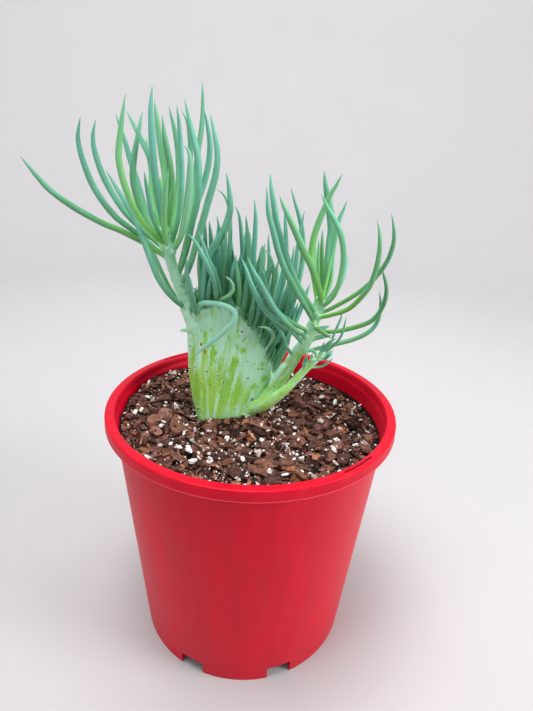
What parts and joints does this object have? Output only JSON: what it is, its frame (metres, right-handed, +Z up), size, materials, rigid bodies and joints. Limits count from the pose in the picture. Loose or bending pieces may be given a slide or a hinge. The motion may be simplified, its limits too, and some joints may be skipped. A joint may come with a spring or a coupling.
{
  "type": "potted chalk sticks",
  "caption": "Succulent with a flattened, crested green stem, upright blue-green finger leaves and leafy side shoots, in a red moulded nursery pot filled with bark potting mix.",
  "frame": {"origin": "on the pot's axis, in the plane that the pot stands on", "axes": "+Z up, -Y the front that the picture shows, +X to the right"},
  "size_m": [0.2408, 0.2046, 0.3931],
  "materials": {
    "pot_plastic": "red moulded polypropylene with a soft sheen",
    "mix": "rough bark chips in dark fine matter, stands in for potting mix",
    "fan_green": "pale green skin under a chalky bloom, stands in for plant tissue",
    "leaf_green": "blue-green succulent leaves with a chalky bloom, stands in for plant tissue"
  },
  "bodies": {
    "root": {"pot": "pot_plastic", "potting_mix": "mix", "crested_fan": "fan_green", "left_shoot": "leaf_green", "upper_right_shoot": "leaf_green", "lower_right_shoot": "leaf_green"}
  },
  "joints": []
}
